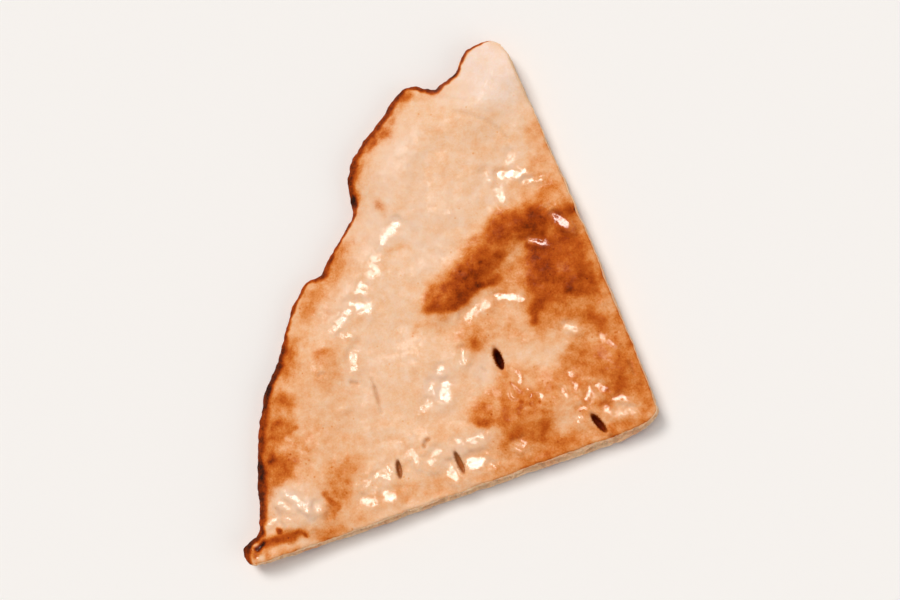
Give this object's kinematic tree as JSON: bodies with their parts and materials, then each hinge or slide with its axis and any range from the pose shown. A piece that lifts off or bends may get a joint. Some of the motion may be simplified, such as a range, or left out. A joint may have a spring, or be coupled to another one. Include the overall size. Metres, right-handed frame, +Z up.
{
  "type": "naan slice",
  "caption": "Cut slice of round leavened flatbread with a puffed, browned and glazed top, a rolled charred rim and knife-cut sides.",
  "frame": {"origin": "centre of the slice's box seen from above, on the surface that it rests on", "axes": "+Z up, out of the browned top; +Y along the slice's longest extent, towards the tip between the upper cut and the rim; +X towards the knife corner"},
  "size_m": [0.0982, 0.126, 0.009],
  "materials": {
    "bread": "baked wheat crust, cream to orange brown, thinly brushed with melted butter"
  },
  "bodies": {
    "root": {"naan_slice": "bread"}
  },
  "joints": []
}
